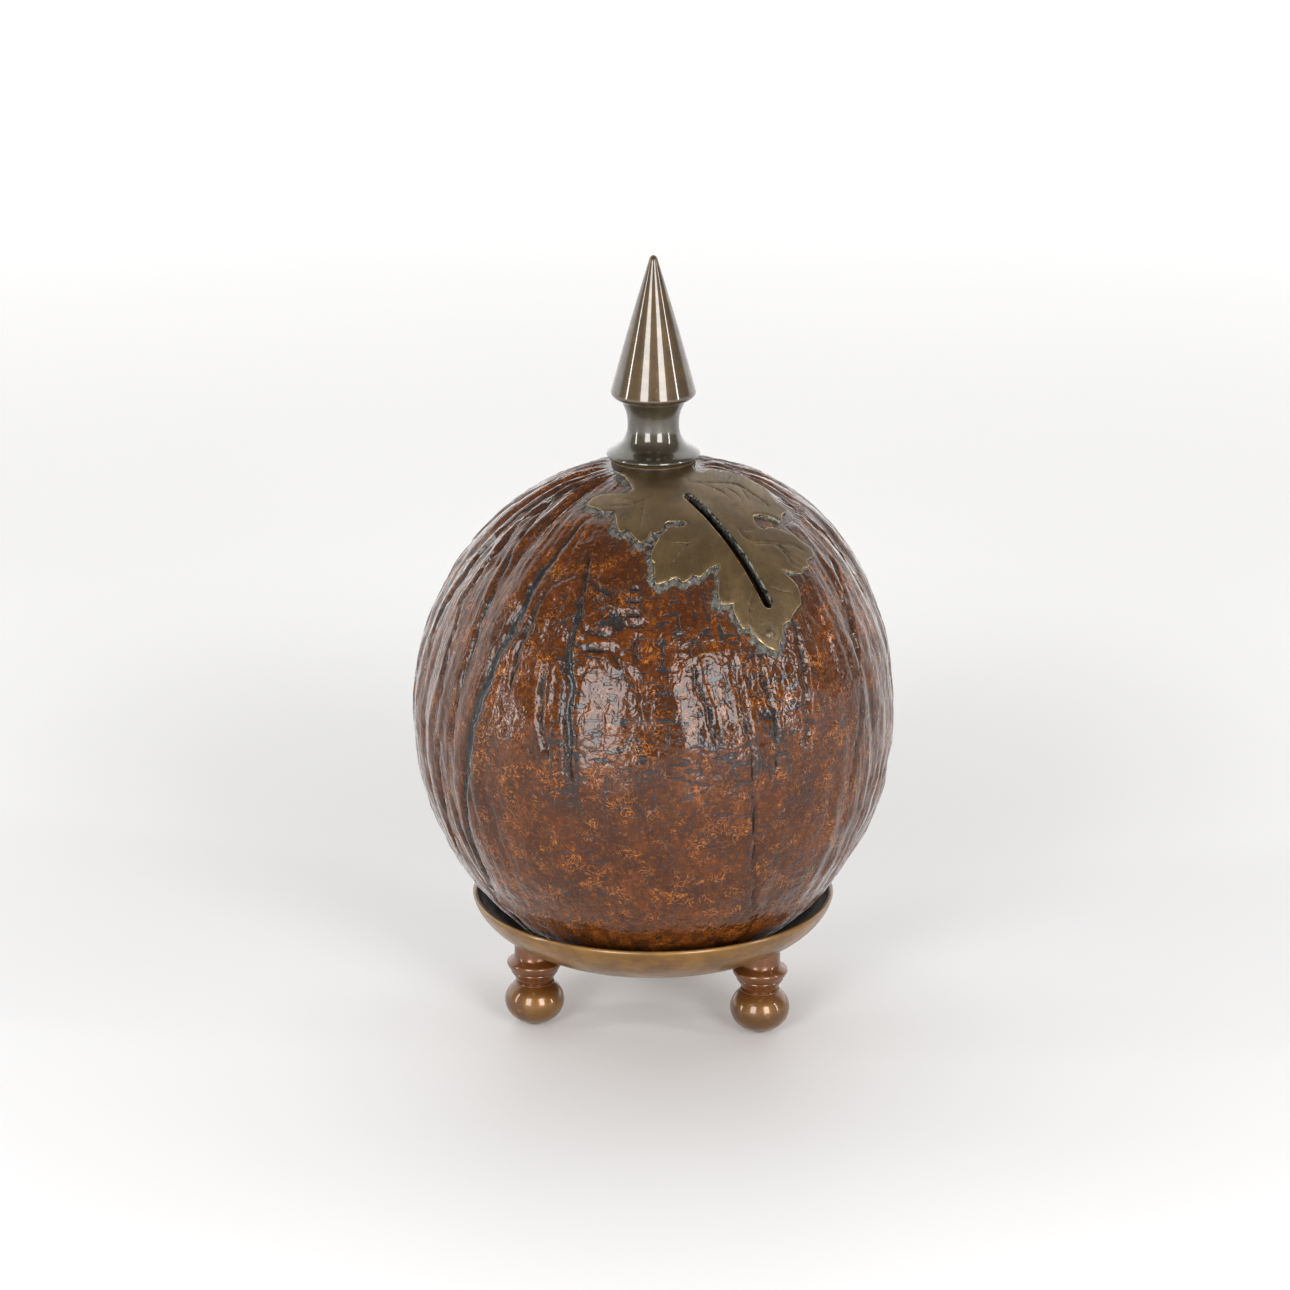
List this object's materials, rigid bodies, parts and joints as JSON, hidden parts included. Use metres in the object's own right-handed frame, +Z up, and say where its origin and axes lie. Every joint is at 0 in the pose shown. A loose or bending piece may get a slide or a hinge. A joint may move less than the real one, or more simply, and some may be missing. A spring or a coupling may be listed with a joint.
{
  "type": "money box",
  "caption": "Free-standing money box: a hollow woody nut in a footed brass dish, with a leaf-shaped coin slot plate and a pointed turned finial that unscrews.",
  "frame": {"origin": "on the table, below the middle of the nut", "axes": "+Z up along the tie rod, -Y towards the viewer, on the side of the coin slot"},
  "size_m": [0.12, 0.12, 0.1958],
  "materials": {
    "dish_brass": "satin, aged",
    "foot_brass": "satin, aged",
    "boss_brass": "turned",
    "seat_leather": "matte",
    "nut_shell": "varnished, with dark filled cracks",
    "ferrule_brass": "dark patina",
    "leaf_brass": "dull olive patina, worn bright at the edges",
    "mastic": "matte",
    "pin_brass": "worn",
    "washer_leather": "matte",
    "spool_brass": "grey-green patina",
    "spire_brass": "polished, warm brown patina",
    "rod_steel": "bare"
  },
  "bodies": {
    "base": {"base_dish": "dish_brass", "foot_right": "foot_brass", "foot_rear": "foot_brass", "foot_left": "foot_brass", "base_boss": "boss_brass", "boss_ring": "boss_brass", "seat_ring": "seat_leather"},
    "shell": {"shell": "nut_shell", "ferrule": "ferrule_brass", "ferrule_nut": "ferrule_brass", "leaf_plate": "leaf_brass", "leaf_bedding": "mastic", "leaf_pin": "pin_brass"},
    "washer": {"finial_washer": "washer_leather"},
    "finial": {"finial_spool": "spool_brass", "finial_spire": "spire_brass", "tie_rod": "rod_steel"}
  },
  "joints": [
    {"name": "shell_lift", "type": "slide", "parent": "base", "child": "shell", "axis": [0, 0, 1], "range_m": [0, 0.06]},
    {"name": "finial_rise", "type": "slide", "parent": "shell", "child": "washer", "axis": [0, 0, 1], "range_m": [0, 0.00625]},
    {"name": "finial_turn", "type": "hinge", "parent": "washer", "child": "finial", "pos_m": [0, 0, 0.15], "axis": [0, 0, 1], "range_deg": [0, 1800]}
  ],
  "couplings": [
    {"joint": "finial_turn", "follows": "finial_rise", "rad_per_m": 5026.5}
  ]
}
